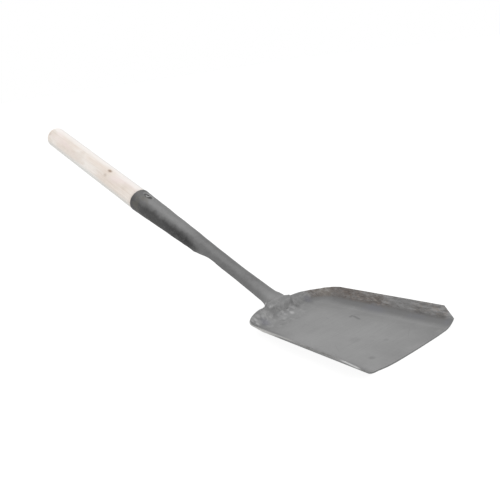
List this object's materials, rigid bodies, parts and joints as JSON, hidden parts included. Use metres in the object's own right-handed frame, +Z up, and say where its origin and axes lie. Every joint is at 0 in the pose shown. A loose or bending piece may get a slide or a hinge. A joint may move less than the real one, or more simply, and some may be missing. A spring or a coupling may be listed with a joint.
{
  "type": "scoop shovel",
  "caption": "Short-handled scoop shovel: pressed steel tray with raised sides and back, channel neck rolled into a socket, and a round wooden handle.",
  "frame": {"origin": "on the flat underside of the tray, on the centre line, 90 mm behind its front corners", "axes": "+Z up from the tray's underside, +Y from the open front edge towards the handle, +X across the tray"},
  "size_m": [0.1708, 0.7576, 0.2358],
  "materials": {
    "tray_steel": "bare rolled sheet, grey, with rust and mill-scale marks near the rim",
    "shank_steel": "dark bare steel",
    "weld_steel": "rough weld bead",
    "handle_wood": "pale bare wood, smooth turned",
    "nail_steel": "plain"
  },
  "bodies": {
    "root": {"tray": "tray_steel", "shank": "shank_steel", "weld": "weld_steel", "handle": "handle_wood", "nail": "nail_steel"}
  },
  "joints": []
}
